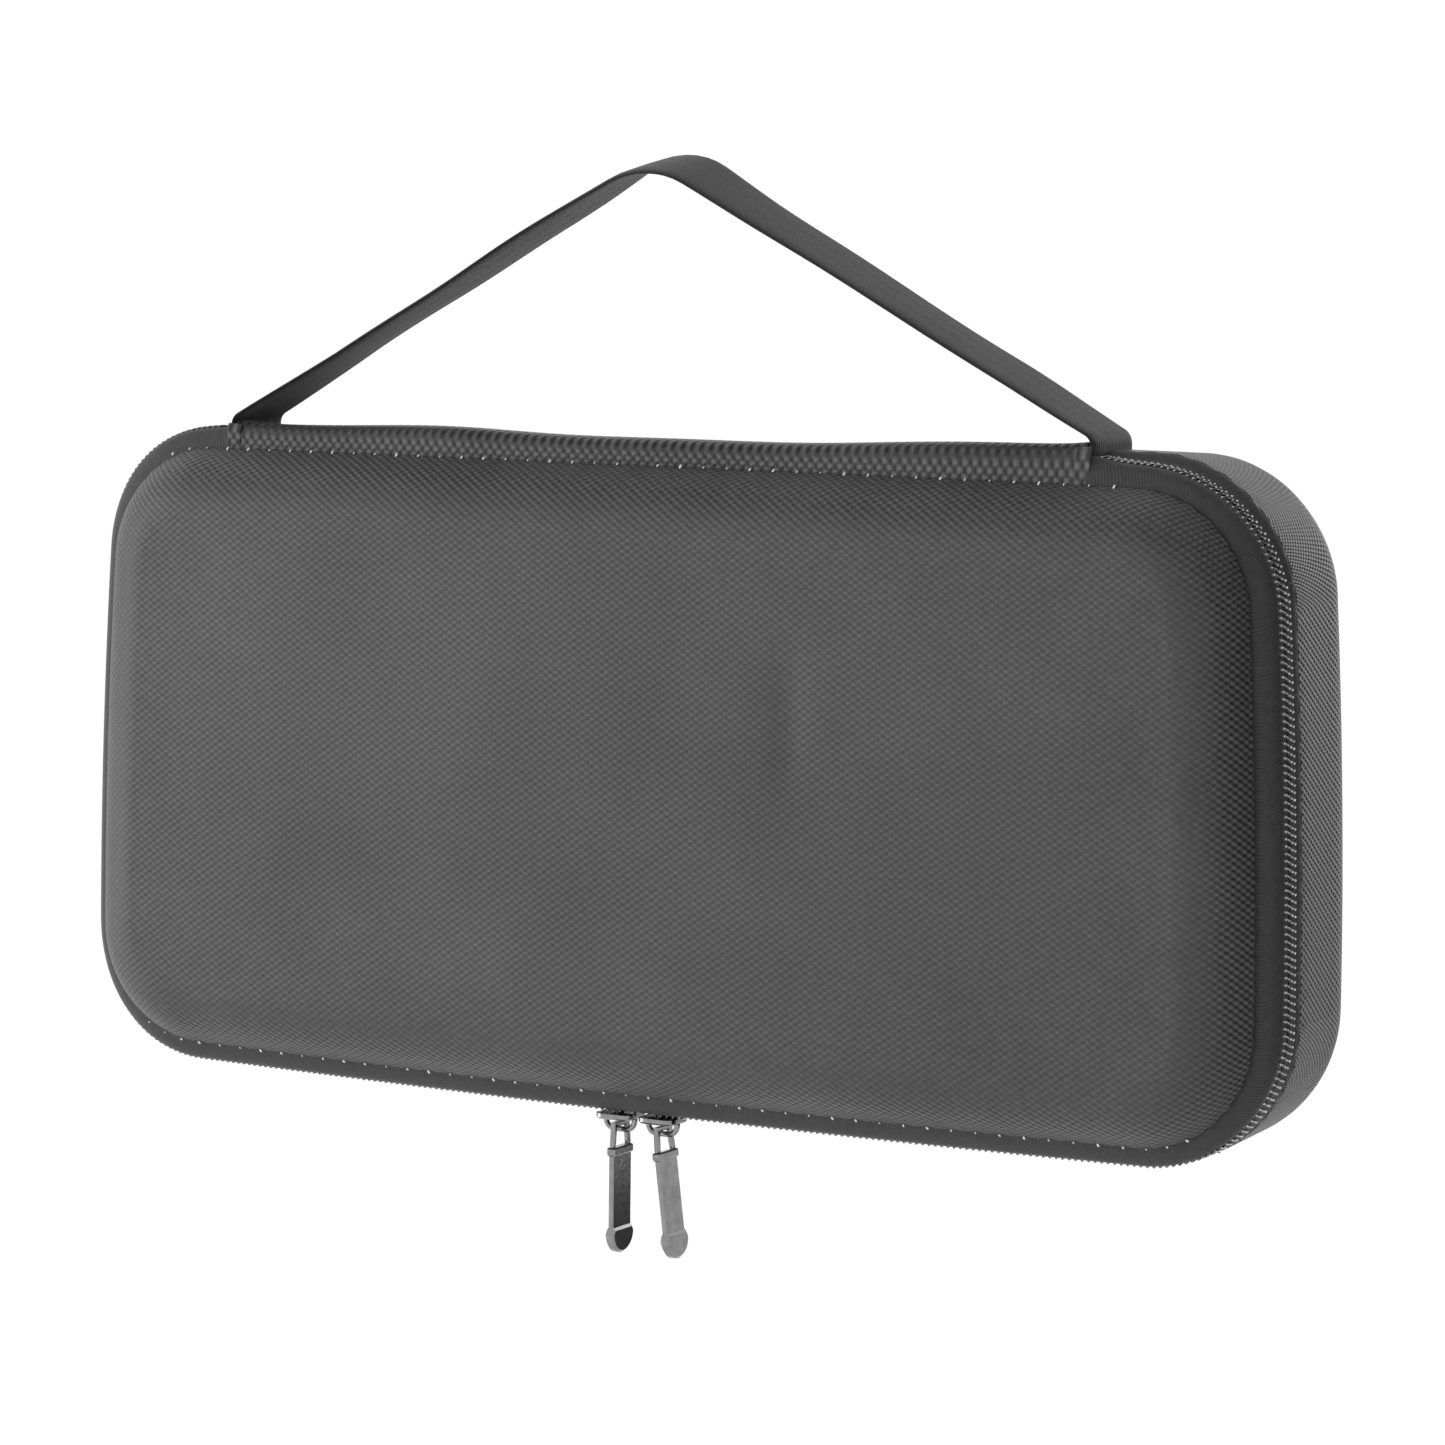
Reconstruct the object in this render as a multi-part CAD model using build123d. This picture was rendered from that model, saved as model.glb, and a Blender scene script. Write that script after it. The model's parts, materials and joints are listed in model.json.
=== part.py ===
from build123d import *
import math
import os

# Headphone carrying case: a hard moulded shell in two halves, joined along the top by a fabric
# hinge and closed by a zip with two sliders. A webbing handle is sewn in at the hinge's ends.
# Millimetres. X is the width, Z is up and the lid faces -Y. The origin is where the case hangs
# from: on the underside of the handle's apex, in the plane where the lid meets the base.

os.makedirs("parts", exist_ok=True)

# Case outline, at the zip's outer edge. Its sides are shallow arcs between rounded corners, and it
# is a little wider below than above. The handle is sewn in slightly off its middle, by rim_x.
rim_w = 304.0
rim_h = 150.0
rim_r = 32.0
rim_x = 3.2
side_lean = 2.6
side_bow = 2.0
top_bow = 0.6
bottom_bow = 1.6

# Walls: woven cover, moulded EVA foam shell, knitted lining
cover_t = 0.8
eva_t = 3.6
base_eva_t = 5.3
lining_t = 0.8

# Zip: nylon coil on woven tape. The lid and base halves meet at y = 0.
chain_w = 6.1
coil_t = 2.0
coil_gap = 0.7
tape_t = 0.6
fit_gap = 0.05

# Lid: its seam to the tape, then a leaning wall that rounds into the front
lid_seam_inset = 5.1
lid_seam_y = 6.0
lid_rise = 10.0
lid_lean = 27.0
lid_edge_r = 15.5
fillet_share = 0.96

# Base: its seam to the tape, then a drafted wall that rounds into the back
base_seam_inset = 0.3
base_seam_y = 5.5
base_depth = 45.0
base_draft = 2.5
base_edge_r = 17.0

# Lips behind the zip, and the binding sewn round their edges
lip_gap = 1.8
base_lip_inset = 5.1
binding_t = 0.6
binding_w = 5.5
thread_t = 0.4
thread_w = 0.4

# Mesh pocket in the lid, closed by an elastic along its top
pocket_y = 2.6
pocket_t = 0.8
pocket_top = 12.0
elastic_w = 8.0
elastic_t = 1.6

# Fabric hinge strip over the crest, with a folded hem at each end
hinge_w = 218.0
hinge_t = 0.9
hem_w = 4.0
hem_t = 0.6

# Handle: webbing that rises from two sewn ends to an apex
strap_w = 20.0
strap_t = 1.6
strap_span = 222.6
strap_rise = 60.0
strap_y = 6.5
strap_apex_r = 9.0
strap_root_r = 9.0
strap_root_h = 6.0
strap_end_h = 4.6
strap_joint_gap = 0.9
zip_end_gap = 1.4

# Zip sliders and their pulls
slider_l = 9.4
slider_w = 8.6
slider_plate_t = 1.3
slider_inner_w = 6.0
slider_inner_t = 1.0
slider_clear = 0.3
slider_inner_clear = 0.9
slider_post_t = 0.5
slider_post_l = 2.0
slider_flange_t = 0.6
slider_corner_r = 2.0
slider_pitch = 11.2
crown_wire = 1.3
crown_span = 7.6
crown_drop = 2.6
crown_r = 2.3
pull_bar = 1.2
pull_loop_w = 6.8
pull_loop_h = 5.2
pull_rod = 1.4
pull_collar_h = 2.0
pull_collar_w = 8.6
pull_collar_t = 2.2
pull_tab_l = 16.5
pull_tab_w = 8.0
pull_tab_t = 1.3
pull_tip_l = 6.1
pull_tip_w = 9.6
pull_tip_t = 2.4
pull_lean = 7.5
pull_clear = 0.15

# Places that follow from the sizes
rim_mid_z = -(strap_rise + top_bow + rim_h / 2)
rim_bottom_z = rim_mid_z - rim_h / 2 - bottom_bow
half_chain = chain_w / 2
tape_inset = coil_t + fit_gap
hinge_end = hinge_w / 2
zip_end = strap_span / 2 + strap_t / 2 + zip_end_gap
lean_shift = 1 / math.cos(math.radians(lid_lean))
lid_front_y = lid_seam_y + lid_rise


def crest_z(x):
    """Height of the outline's top edge at x, on its shallow arc."""
    share = (x - rim_x) / (rim_w / 2 - side_lean)
    return rim_mid_z + rim_h / 2 + top_bow * (1 - share**2)


def rim_sketch():
    """The case's outline as a flat sketch, width along its x and height along its y."""
    middle, h = rim_w / 2 + side_bow, rim_h / 2
    top, foot = rim_w / 2 - side_lean, rim_w / 2 + side_lean
    edges = [
        ThreePointArc((-foot, -h), (0, -h - bottom_bow), (foot, -h)),
        ThreePointArc((foot, -h), (middle, 0), (top, h)),
        ThreePointArc((top, h), (0, h + top_bow), (-top, h)),
        ThreePointArc((-top, h), (-middle, 0), (-foot, -h)),
    ]
    sketch = make_face(edges)
    return fillet(sketch.vertices(), rim_r)


RIM = rim_sketch()


def outline(inset, y):
    """The outline's wire, inset from the zip's outer edge, upright at depth y."""
    sketch = offset(RIM, amount=-inset) if inset else RIM
    upright = Plane(origin=(rim_x, y, rim_mid_z), x_dir=(1, 0, 0), z_dir=(0, -1, 0))
    return (upright * sketch).face().outer_wire()


def form(sections):
    """Solid through outlines, each given as (inset, y). A section given twice counts once."""
    wires = [outline(inset, y) for inset, y in dict.fromkeys(sections)]
    return Solid.make_loft(wires, ruled=True)


def band(sections, thickness):
    """Ring whose outer face follows the sections, this thick towards the inside."""
    inner = [(inset + thickness, y) for inset, y in sections]
    return form(sections) - form(inner)


def lid_form(depth, open_y):
    """Space inside the lid's outer face by depth, open at open_y."""
    wall = lid_seam_inset + depth * lean_shift
    front_y = lid_front_y - depth
    rise = front_y - lid_seam_y
    front = wall + rise * math.tan(math.radians(lid_lean))
    solid = form([(wall, open_y), (wall, -lid_seam_y), (front, -front_y)])
    room = rise * lean_shift / math.tan(math.radians(45 - lid_lean / 2))
    radius = min(lid_edge_r - depth, room * fillet_share)
    return fillet(solid.faces().sort_by(Axis.Y)[0].edges(), radius)


def base_form(depth, open_y):
    """Space inside the base's outer face by depth, open at open_y."""
    wall = base_seam_inset + depth
    back_y = base_depth - depth
    back = wall + (back_y - base_seam_y) * math.tan(math.radians(base_draft))
    solid = form([(wall, open_y), (wall, base_seam_y), (back, back_y)])
    return fillet(solid.faces().sort_by(Axis.Y)[-1].edges(), base_edge_r - depth)


def slab(x0, x1, y0, y1, z0, z1):
    """Box between two corners."""
    return Pos((x0 + x1) / 2, (y0 + y1) / 2, (z0 + z1) / 2) * Box(x1 - x0, y1 - y0, z1 - z0)


def hinge_gap(depth, half_width):
    """Space along the crest that the zip leaves free for the hinge and the handle's ends."""
    top = rim_mid_z + rim_h / 2 + top_bow
    reach = lid_front_y + base_seam_y
    return slab(-half_width, half_width, -reach, reach, top - depth, top + reach)


# Lid
lid_lip_y = lip_gap / 2
lid_lining_depth = cover_t + eva_t + lining_t


def make_lid_cover():
    return lid_form(0, -lid_seam_y) - lid_form(cover_t, -lid_seam_y)


def make_lid_shell():
    return lid_form(cover_t, -lid_lip_y) - lid_form(cover_t + eva_t, -lid_lip_y)


def make_lid_lining():
    return lid_form(cover_t + eva_t, -lid_lip_y) - lid_form(lid_lining_depth, -lid_lip_y)


def make_lid_zip_tape():
    tape = band([(tape_inset, -coil_gap), (tape_inset, -half_chain), (lid_seam_inset, -lid_seam_y)], tape_t)
    return tape - hinge_gap(rim_r, zip_end)


def make_lid_zip_coil():
    coil = band([(0, -coil_gap / 2), (0, -half_chain)], coil_t)
    return coil - hinge_gap(rim_r, zip_end)


def make_lid_seam_thread():
    slope = (lid_seam_inset - tape_inset) / (lid_seam_y - half_chain)
    near = lid_seam_inset - thread_t
    far = near - slope * thread_w
    thread = band([(far, -lid_seam_y + thread_w), (near, -lid_seam_y)], thread_t)
    return thread - hinge_gap(rim_r, zip_end)


def make_lid_edge_binding():
    outer = lid_seam_inset + cover_t * lean_shift
    inner = lid_seam_inset + lid_lining_depth * lean_shift
    edge_y = lid_lip_y - binding_t
    cap = band([(outer, -edge_y), (outer, -lid_lip_y)], inner + binding_t - outer)
    flap = band([(inner, -lid_lip_y), (inner, -binding_w)], binding_t)
    return cap + flap


pocket_inset = lid_seam_inset + lid_lining_depth * lean_shift + binding_t


def pocket_slice(thickness, z0, z1):
    """Part of the lid's mouth, between two heights, centred on the pocket's plane."""
    plate = form([(pocket_inset, -pocket_y + thickness / 2), (pocket_inset, -pocket_y - thickness / 2)])
    return plate & slab(-rim_w, rim_w, -lid_front_y, lid_front_y, z0, z1)


def make_pocket_mesh():
    return pocket_slice(pocket_t, rim_bottom_z, rim_mid_z + pocket_top)


def make_pocket_elastic():
    return pocket_slice(elastic_t, rim_mid_z + pocket_top, rim_mid_z + pocket_top + elastic_w)


# Base
base_lining_depth = cover_t + base_eva_t + lining_t


def make_base_cover():
    return base_form(0, base_seam_y) - base_form(cover_t, base_seam_y)


def make_base_shell():
    tray = base_form(cover_t, base_seam_y) - base_form(cover_t + base_eva_t, base_seam_y)
    lip_t = base_seam_inset + cover_t + base_eva_t - base_lip_inset
    lip = band([(base_lip_inset, lip_gap / 2), (base_lip_inset, base_seam_y)], lip_t)
    return tray + lip


def make_base_lining():
    return base_form(cover_t + base_eva_t, lip_gap / 2) - base_form(base_lining_depth, lip_gap / 2)


def make_base_zip_tape():
    tape = band([(tape_inset, coil_gap), (tape_inset, half_chain), (base_seam_inset, base_seam_y)], tape_t)
    return tape - hinge_gap(rim_r, zip_end)


def make_base_zip_coil():
    coil = band([(0, coil_gap / 2), (0, half_chain)], coil_t)
    return coil - hinge_gap(rim_r, zip_end)


def make_base_seam_thread():
    slope = (tape_inset - base_seam_inset) / (base_seam_y - half_chain)
    near = base_seam_inset - thread_t
    far = near + slope * thread_w
    thread = band([(far, base_seam_y - thread_w), (near, base_seam_y)], thread_t)
    return thread - hinge_gap(rim_r, zip_end)


def make_base_edge_binding():
    inner = base_seam_inset + base_lining_depth
    edge_y = lip_gap / 2 - binding_t
    cap = band([(base_lip_inset, edge_y), (base_lip_inset, lip_gap / 2)], inner + binding_t - base_lip_inset)
    flap = band([(inner, lip_gap / 2), (inner, binding_w)], binding_t)
    return cap + flap


# Hinge
def hinge_band(lift, thickness):
    """Band over the crest from the lid's seam to the base's, lifted off the crest by lift."""
    over = [
        (base_seam_inset - lift, base_seam_y),
        (fit_gap - lift, half_chain),
        (fit_gap - lift, -half_chain),
        (lid_seam_inset - lift, -lid_seam_y),
    ]
    return band(over, thickness)


def make_hinge_strip():
    strip = hinge_band(0, hinge_t) & hinge_gap(rim_r, hinge_end)
    hems = hinge_band(hem_t, hem_t) & hinge_gap(rim_r, hinge_end)
    return strip + (hems - hinge_gap(rim_r, hinge_end - hem_w))


# Handle
def make_handle_strap():
    foot = -strap_rise + strap_joint_gap
    knee = foot + strap_root_h
    x = strap_span / 2
    knee_x = x - x * strap_root_h / strap_rise / 2
    apex = strap_t / 2 + strap_apex_r * (math.hypot(knee_x, knee) / knee_x - 1)
    path = FilletPolyline(
        (-x, foot), (-knee_x, knee), (0, apex), (knee_x, knee), (x, foot),
        radius=[strap_root_r, strap_apex_r, strap_root_r],
    )
    flat = trace(path, line_width=strap_t)
    return Pos(0, strap_y, 0) * extrude(Plane.XZ * flat, amount=strap_w / 2, both=True)


def make_strap_end(side):
    x = side * strap_span / 2
    top = rim_mid_z + rim_h / 2 + top_bow
    front = strap_y - strap_w / 2
    back = strap_y + strap_w / 2
    rest = crest_z(x) - base_seam_inset + fit_gap
    root = slab(x - strap_t / 2, x + strap_t / 2, front, base_seam_y - fit_gap, top - strap_end_h, top)
    return root + slab(x - strap_t / 2, x + strap_t / 2, base_seam_y - fit_gap, back, rest, top)


# Sliders and pulls, each made over x = 0 and moved to its place
slider_top_z = rim_bottom_z - slider_clear
slider_under_z = slider_top_z - slider_plate_t
pivot_drop = crown_drop - crown_wire / 2 - pull_bar / 2 - pull_clear
pivot_z = slider_under_z - pivot_drop


def plate(width, length, thickness, z):
    """Slider plate with round corners, its lower face at z."""
    flat = RectangleRounded(length, width, min(slider_corner_r, width / 2.5))
    return Pos(0, 0, z) * extrude(flat, amount=thickness)


def make_slider_body(side):
    inner_z = rim_bottom_z + tape_inset + tape_t + slider_inner_clear
    outer = plate(slider_w, slider_l, slider_plate_t, slider_under_z)
    outer = chamfer(outer.faces().sort_by(Axis.Z)[0].edges(), slider_plate_t / 3)
    inner = plate(slider_inner_w, slider_l, slider_inner_t, inner_z)
    nose = -side * (slider_l / 2 - slider_post_l)
    half_post = slider_post_t / 2
    post = slab(nose - slider_post_l / 2, nose + slider_post_l / 2, -half_post, half_post,
                slider_top_z, inner_z)
    flange_y = half_chain + slider_clear
    flange_l = slider_l / 2 - slider_corner_r
    flange = slab(-flange_l, flange_l, flange_y, flange_y + slider_flange_t,
                  slider_top_z, rim_bottom_z + coil_t / 2)
    return Pos(side * slider_pitch / 2, 0, 0) * (outer + inner + post + flange)


def make_slider_crown(side):
    half = crown_span / 2
    path = FilletPolyline((-half, 0), (-half, -crown_drop), (half, -crown_drop), (half, 0), radius=crown_r)
    path = Pos(0, 0, slider_under_z) * (Plane.XZ * path)
    section = Plane(origin=path @ 0, z_dir=path % 0) * Circle(crown_wire / 2)
    return Pos(side * slider_pitch / 2, 0, 0) * sweep(section, path)


def make_pull(side):
    loop_top = pull_bar / 2
    collar_z = -pull_loop_h
    tab_z = collar_z - pull_collar_h
    tip_z = tab_z - pull_tab_l
    upright = Plane.YZ
    half_top, half_low = pull_loop_w / 2, pull_tab_w / 2
    loop = make_face(Polyline((-half_top, loop_top), (half_top, loop_top), (half_low, collar_z),
                              (-half_low, collar_z), close=True))
    hole_top = half_top - pull_rod
    hole_low = half_low - pull_rod
    hole = make_face(Polyline((-hole_top, -pull_bar / 2), (hole_top, -pull_bar / 2),
                              (hole_low, collar_z), (-hole_low, collar_z), close=True))
    wire = extrude(upright * (loop - hole), amount=pull_bar / 2, both=True)
    wire = chamfer(wire.edges().filter_by(Axis.X, reverse=True).group_by(Axis.X)[0], pull_bar / 4)
    wire = chamfer(wire.edges().filter_by(Axis.X, reverse=True).group_by(Axis.X)[-1], pull_bar / 4)
    collar = Pos(0, 0, collar_z - pull_collar_h / 2) * Box(pull_collar_t, pull_collar_w, pull_collar_h)
    collar = chamfer(collar.edges(), pull_collar_t / 6)
    tab = Pos(0, 0, tab_z - pull_tab_l / 2) * Box(pull_tab_t, pull_tab_w, pull_tab_l)
    tab = chamfer(tab.edges().filter_by(Axis.Z), pull_tab_t / 5)
    half_tip = pull_tip_w / 2
    shoulder = tip_z - pull_tip_l / 4
    tip_face = make_face([
        Line((-half_low, tip_z), (half_low, tip_z)),
        Line((half_low, tip_z), (half_tip, shoulder)),
        ThreePointArc((half_tip, shoulder), (0, tip_z - pull_tip_l), (-half_tip, shoulder)),
        Line((-half_tip, shoulder), (-half_low, tip_z)),
    ])
    tip = extrude(upright * tip_face, amount=pull_tip_t / 2, both=True)
    tip = chamfer(tip.faces().sort_by(Axis.X)[0].edges(), pull_tip_t / 4)
    tip = chamfer(tip.faces().sort_by(Axis.X)[-1].edges(), pull_tip_t / 4)
    pull = wire + collar + tab + tip
    if side > 0:
        pull = Rot(0, -pull_lean, 0) * pull
    return Pos(side * slider_pitch / 2, 0, pivot_z) * pull


PIECES = {
    "lid_cover": make_lid_cover,
    "lid_shell": make_lid_shell,
    "lid_lining": make_lid_lining,
    "lid_zip_tape": make_lid_zip_tape,
    "lid_zip_coil": make_lid_zip_coil,
    "lid_seam_thread": make_lid_seam_thread,
    "lid_edge_binding": make_lid_edge_binding,
    "pocket_mesh": make_pocket_mesh,
    "pocket_elastic": make_pocket_elastic,
    "base_cover": make_base_cover,
    "base_shell": make_base_shell,
    "base_lining": make_base_lining,
    "base_zip_tape": make_base_zip_tape,
    "base_zip_coil": make_base_zip_coil,
    "base_seam_thread": make_base_seam_thread,
    "base_edge_binding": make_base_edge_binding,
    "hinge_strip": make_hinge_strip,
    "handle_strap": make_handle_strap,
}

for name, make in PIECES.items():
    export_step(make(), f"parts/{name}.step")

for side, word in ((-1, "left"), (1, "right")):
    export_step(make_strap_end(side), f"parts/strap_end_{word}.step")
    export_step(make_slider_body(side), f"parts/slider_body_{word}.step")
    export_step(make_slider_crown(side), f"parts/slider_crown_{word}.step")
    export_step(make_pull(side), f"parts/pull_{word}.step")

print("crest", round(rim_mid_z + rim_h / 2 + top_bow, 2), "middle", round(rim_mid_z, 2))
print("bottom", round(rim_bottom_z, 2), "pull pivot", round(pivot_z, 2))
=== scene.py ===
# %% [markdown]
# # A headphone carrying case
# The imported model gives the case's bodies, joints and sizes. This lesson dresses it: woven covers,
# a coil zip with its teeth, webbing, thread and plated metal. The camera comes first, then the
# light, then the finishes, and then one piece at a time.

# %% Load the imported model
import json
import math

import bpy
from mathutils import Matrix, Vector


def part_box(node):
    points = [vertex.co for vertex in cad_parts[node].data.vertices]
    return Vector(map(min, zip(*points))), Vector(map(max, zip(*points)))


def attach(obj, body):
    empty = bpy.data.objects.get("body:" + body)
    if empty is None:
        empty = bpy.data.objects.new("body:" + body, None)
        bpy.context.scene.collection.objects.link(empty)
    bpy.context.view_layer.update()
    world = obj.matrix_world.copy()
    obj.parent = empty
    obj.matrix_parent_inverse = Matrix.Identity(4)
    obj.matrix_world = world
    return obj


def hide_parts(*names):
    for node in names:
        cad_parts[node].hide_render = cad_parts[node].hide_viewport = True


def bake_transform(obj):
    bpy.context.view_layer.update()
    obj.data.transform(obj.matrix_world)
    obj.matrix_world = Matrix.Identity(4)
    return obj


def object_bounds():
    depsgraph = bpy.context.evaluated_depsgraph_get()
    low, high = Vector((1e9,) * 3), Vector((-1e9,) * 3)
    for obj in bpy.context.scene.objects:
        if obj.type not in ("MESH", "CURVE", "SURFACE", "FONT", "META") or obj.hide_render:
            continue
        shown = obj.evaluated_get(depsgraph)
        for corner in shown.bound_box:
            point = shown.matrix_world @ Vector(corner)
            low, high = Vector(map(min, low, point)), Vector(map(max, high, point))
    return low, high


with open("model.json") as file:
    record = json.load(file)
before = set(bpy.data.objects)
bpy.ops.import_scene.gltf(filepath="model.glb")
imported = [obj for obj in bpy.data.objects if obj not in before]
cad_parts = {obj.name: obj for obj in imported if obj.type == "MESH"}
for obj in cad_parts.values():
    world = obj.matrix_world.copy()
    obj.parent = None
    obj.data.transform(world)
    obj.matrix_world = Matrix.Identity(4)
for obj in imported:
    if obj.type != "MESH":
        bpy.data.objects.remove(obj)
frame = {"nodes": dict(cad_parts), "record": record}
cad_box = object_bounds()
MM = 0.001

# %% [markdown]
# ## Measures
# The case's edge is four shallow arcs with rounded corners, a little wider below than above. The
# hinge joint lies on the crest and the coil's box gives the foot, so the height and the sideways
# place come from the frame. The widths and bows are the case's own.

# %% Measures
joints = {joint["name"]: joint for joint in frame["record"]["behaviour"]["joints"]}
crest_z = joints["lid_hinge"]["pos_m"][2]
coil_low, coil_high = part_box("base_zip_coil")
cover_low, cover_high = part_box("base_cover")
lid_low, lid_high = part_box("lid_cover")
TOP_HALF = 149.4 * MM
WAIST_HALF = 154.0 * MM
FOOT_HALF = 154.6 * MM
TOP_BOW = 0.6 * MM
FOOT_BOW = 1.6 * MM
CORNER_R = 32.0 * MM
RIM_X = (coil_low[0] + coil_high[0]) / 2
HALF_H = (crest_z - TOP_BOW - coil_low[2] - FOOT_BOW) / 2
MID_Z = crest_z - TOP_BOW - HALF_H
MIDDLE = Vector((RIM_X, 0, MID_Z))
print(f"middle at x {1000 * RIM_X:.1f}, z {1000 * MID_Z:.1f}; half height {1000 * HALF_H:.1f} mm")

# %% [markdown]
# ## The camera
# A long lens from about thirty degrees to the right and a little above. All the looks are judged
# through it, so it is placed before anything is modelled.

# %% Camera
AZIMUTH = math.radians(29.88)
ELEVATION = math.radians(5.96)
ROLL = math.radians(0.67)
DISTANCE = 1.1496
back = Vector((
    math.sin(AZIMUTH) * math.cos(ELEVATION),
    -math.cos(AZIMUTH) * math.cos(ELEVATION),
    math.sin(ELEVATION),
))
level_right = Vector((math.cos(AZIMUTH), math.sin(AZIMUTH), 0))
level_up = back.cross(level_right)
right = level_right * math.cos(ROLL) + level_up * math.sin(ROLL)
up = level_up * math.cos(ROLL) - level_right * math.sin(ROLL)
stand = MIDDLE + right * 14.65 * MM + up * 12.5 * MM + back * DISTANCE
camera_data = bpy.data.cameras.new("camera")
camera_data.lens = 127.43
camera_data.sensor_width = 36
camera_data.clip_end = 50
camera = bpy.data.objects.new("camera", camera_data)
bpy.context.collection.objects.link(camera)
camera.matrix_world = Matrix((
    (right.x, up.x, back.x, stand.x),
    (right.y, up.y, back.y, stand.y),
    (right.z, up.z, back.z, stand.z),
    (0, 0, 0, 1),
))
bpy.context.scene.camera = camera
print("camera at", [round(v, 3) for v in stand])

# %% [markdown]
# ## The studio
# The case hangs over a pale floor in a white room, as in a light tent, so the room itself is the
# main lamp. One large soft box lifts the left side and a weak one gives the back edge a rim. Three
# matt black cards stand outside this camera's view, though one shows from behind the case. They
# darken the right side, the top and one pull, because dark cloth and plated metal show shape
# mostly by what they reflect.

# %% Floor and light
FLOOR_DROP = 0.40
ROOM_LIGHT = 1.08


def clear_selection():
    """Leaves edit mode, and then nothing is selected."""
    if bpy.context.mode != "OBJECT":
        bpy.ops.object.mode_set(mode="OBJECT")
    bpy.ops.object.select_all(action="DESELECT")


def soft_box(name, place, size, power):
    """A square lamp that faces the middle of the case."""
    lamp = bpy.data.lights.new(name, "AREA")
    lamp.shape = "SQUARE"
    lamp.size = size
    lamp.energy = power
    box = bpy.data.objects.new(name, lamp)
    bpy.context.collection.objects.link(box)
    box.location = place
    box.rotation_euler = (MIDDLE - box.location).to_track_quat("-Z", "Y").to_euler()


def matt_paint(name, grey, roughness):
    """A plain paint for the studio's own pieces."""
    paint = bpy.data.materials.new(name)
    paint.use_nodes = True
    shader = paint.node_tree.nodes["Principled BSDF"]
    shader.inputs["Base Color"].default_value = (grey, grey, grey, 1)
    shader.inputs["Roughness"].default_value = roughness
    return paint


clear_selection()
bpy.ops.mesh.primitive_plane_add(size=40, location=(0, 0, cad_box[0][2] - FLOOR_DROP))
floor = bpy.context.object
floor.name = "floor"
floor.data.materials.append(matt_paint("floor_paint", 0.95, 0.9))

world = bpy.data.worlds.new("white_room")
bpy.context.scene.world = world
world.use_nodes = True
world.node_tree.nodes["Background"].inputs["Color"].default_value = (1, 1, 1, 1)
world.node_tree.nodes["Background"].inputs["Strength"].default_value = ROOM_LIGHT
bpy.context.scene.view_settings.view_transform = "Standard"
soft_box("left_box", (-1.6, -1.0, -0.1), 1.4, 17)
soft_box("back_box", (0.6, 1.8, 0.4), 0.8, 6)

# %% Black cards
CARD_BLACK = matt_paint("card_black", 0.01, 1.0)
UPRIGHT = (0, math.radians(90), 0)


def black_card(name, middle, turn, size):
    """A black card with its middle, turn and size, which only shades and is reflected."""
    clear_selection()
    bpy.ops.mesh.primitive_plane_add(size=1, location=middle, rotation=turn)
    card = bpy.context.object
    card.name = name
    card.scale = (*size, 1)
    bpy.ops.object.transform_apply(location=True, rotation=True, scale=True)
    card.data.materials.append(CARD_BLACK)


black_card("side_card", (0.42, 0.25, -0.05), UPRIGHT, (0.60, 0.70))
black_card("pull_card", (0.46, 0.90, -0.47), UPRIGHT, (0.16, 0.80))
black_card("top_card", (0.05, -0.30, 0.52), (math.radians(25), 0, 0), (0.90, 0.45))

# %% [markdown]
# ## Small helpers for finishes
# Every finish starts from the Principled shader and adds a pattern made of Math nodes. With these
# helpers each one reads as a short recipe.

# %% Helpers for finishes
CLOTH_MAP = "cloth"


def finish(name, roughness, specular=0.5, metallic=0.0, sheen=0.0, coat=0.0):
    """A new material with plain values on its shader, with its tree and shader."""
    material = bpy.data.materials.new(name)
    material.use_nodes = True
    tree = material.node_tree
    shader = tree.nodes["Principled BSDF"]
    shader.inputs["Roughness"].default_value = roughness
    shader.inputs["Specular IOR Level"].default_value = specular
    shader.inputs["Metallic"].default_value = metallic
    shader.inputs["Sheen Weight"].default_value = sheen
    shader.inputs["Coat Weight"].default_value = coat
    return material, tree, shader


def maths(tree, operation, first, second=None, third=None):
    """One Math node. Each value is a number or a socket."""
    node = tree.nodes.new("ShaderNodeMath")
    node.operation = operation
    for socket, value in zip(node.inputs, (first, second, third)):
        if value is None:
            continue
        if isinstance(value, (int, float)):
            socket.default_value = value
        else:
            tree.links.new(value, socket)
    return node.outputs[0]


def cloth_axes(tree):
    """The two coordinates of a piece's own cloth map, in metres along the cloth."""
    uv = tree.nodes.new("ShaderNodeUVMap")
    uv.uv_map = CLOTH_MAP
    parts = tree.nodes.new("ShaderNodeSeparateXYZ")
    tree.links.new(uv.outputs[0], parts.inputs[0])
    return parts.outputs[0], parts.outputs[1]


def place_axes(tree):
    """Object coordinates, split in three."""
    place = tree.nodes.new("ShaderNodeTexCoord")
    parts = tree.nodes.new("ShaderNodeSeparateXYZ")
    tree.links.new(place.outputs["Object"], parts.inputs[0])
    return parts.outputs[0], parts.outputs[1], parts.outputs[2]


def cloud(tree, scale, detail=3.0):
    """Soft noise from 0 to 1 over Object coordinates."""
    place = tree.nodes.new("ShaderNodeTexCoord")
    noise = tree.nodes.new("ShaderNodeTexNoise")
    noise.inputs["Scale"].default_value = scale
    noise.inputs["Detail"].default_value = detail
    tree.links.new(place.outputs["Object"], noise.inputs["Vector"])
    return noise.outputs["Fac"]


def wave(tree, axis, pitch):
    """A sine along one coordinate that changes sign once in each pitch."""
    return maths(tree, "SINE", maths(tree, "MULTIPLY", axis, math.pi / pitch))


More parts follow.
